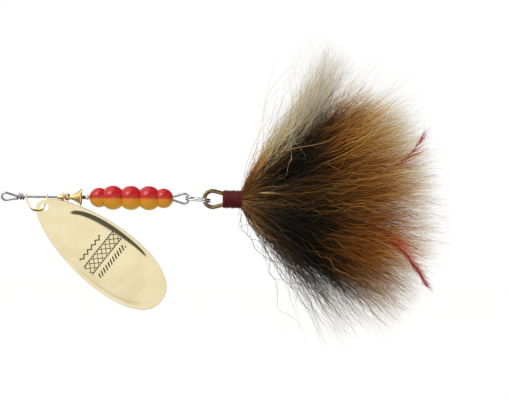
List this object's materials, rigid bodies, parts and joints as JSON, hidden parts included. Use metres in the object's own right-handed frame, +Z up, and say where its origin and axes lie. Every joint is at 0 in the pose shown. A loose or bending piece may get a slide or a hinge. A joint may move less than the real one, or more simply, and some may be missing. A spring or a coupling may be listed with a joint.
{
  "type": "inline spinner",
  "caption": "Large inline spinner: wire shaft with a clevis-hung oval blade, brass cones and beads, a lobed painted body, and a split ring with a hair-dressed treble hook.",
  "frame": {"origin": "on the shaft's axis, at the flat inside the line eye on which a leader bears", "axes": "+X along the shaft from the line eye to the tail, +Z up, -Y is the side that the blade's dome faces"},
  "size_m": [0.2171, 0.0632, 0.1413],
  "materials": {
    "steel_wire": "polished",
    "gold_plate": "polished",
    "brass": "gloss",
    "dark_metal": "satin",
    "body_paint": "gloss",
    "nickel": "polished",
    "bronzed_steel": "satin",
    "maroon_thread": "satin",
    "cream_hair": "satin",
    "black_hair": "satin",
    "ginger_hair": "satin",
    "brown_hair": "satin",
    "grey_hair": "satin",
    "red_hackle": "satin"
  },
  "bodies": {
    "shaft": {"shaft_wire": "steel_wire"},
    "clevis": {"clevis": "gold_plate"},
    "blade": {"blade": "gold_plate"},
    "front_cone": {"front_cone": "brass"},
    "cap_bead": {"cap_bead": "brass"},
    "bell_cone": {"bell_cone": "brass"},
    "spacer_bead": {"spacer_bead": "dark_metal"},
    "neck_bead": {"neck_bead": "brass"},
    "lobed_body": {"lobed_body": "body_paint"},
    "split_ring": {"split_ring": "nickel"},
    "hook": {"hook_double": "bronzed_steel", "hook_single": "bronzed_steel", "thread_wrap": "maroon_thread", "hair_top_cream": "cream_hair", "hair_upper_black": "black_hair", "hair_upper_ginger": "ginger_hair", "hair_near_middle": "brown_hair", "hair_lower_ginger": "ginger_hair", "hair_lower_black": "black_hair", "hair_bottom_grey": "grey_hair", "hair_far_lower": "brown_hair", "hair_far_upper": "ginger_hair", "hackle_upper": "red_hackle", "hackle_lower": "red_hackle"}
  },
  "joints": [
    {"name": "clevis_spin", "type": "hinge", "parent": "shaft", "child": "clevis", "pos_m": [0.017, 0, 0], "axis": [1, 0, 0], "continuous": true},
    {"name": "blade_swing", "type": "hinge", "parent": "clevis", "child": "blade", "pos_m": [0.0211, -0.004, -0.00515], "axis": [0, 1, 0], "range_deg": [-7, 38]},
    {"name": "front_cone_spin", "type": "hinge", "parent": "shaft", "child": "front_cone", "pos_m": [0.029, 0, 0], "axis": [1, 0, 0], "continuous": true},
    {"name": "cap_bead_spin", "type": "hinge", "parent": "shaft", "child": "cap_bead", "pos_m": [0.03225, 0, 0], "axis": [1, 0, 0], "continuous": true},
    {"name": "bell_cone_spin", "type": "hinge", "parent": "shaft", "child": "bell_cone", "pos_m": [0.0366, 0, 0], "axis": [1, 0, 0], "continuous": true},
    {"name": "spacer_bead_spin", "type": "hinge", "parent": "shaft", "child": "spacer_bead", "pos_m": [0.0404, 0, 0], "axis": [1, 0, 0], "continuous": true},
    {"name": "neck_bead_spin", "type": "hinge", "parent": "shaft", "child": "neck_bead", "pos_m": [0.0422, 0, 0], "axis": [1, 0, 0], "continuous": true},
    {"name": "body_spin", "type": "hinge", "parent": "shaft", "child": "lobed_body", "pos_m": [0.064, 0, 0], "axis": [1, 0, 0], "continuous": true},
    {"name": "ring_swing", "type": "hinge", "parent": "shaft", "child": "split_ring", "pos_m": [0.093, 0, 0], "axis": [0, 0, 1], "range_deg": [-60, 60]},
    {"name": "hook_swing", "type": "hinge", "parent": "split_ring", "child": "hook", "pos_m": [0.10362, 0, -0.00088], "axis": [0, 1, 0], "range_deg": [-50, 50]}
  ]
}
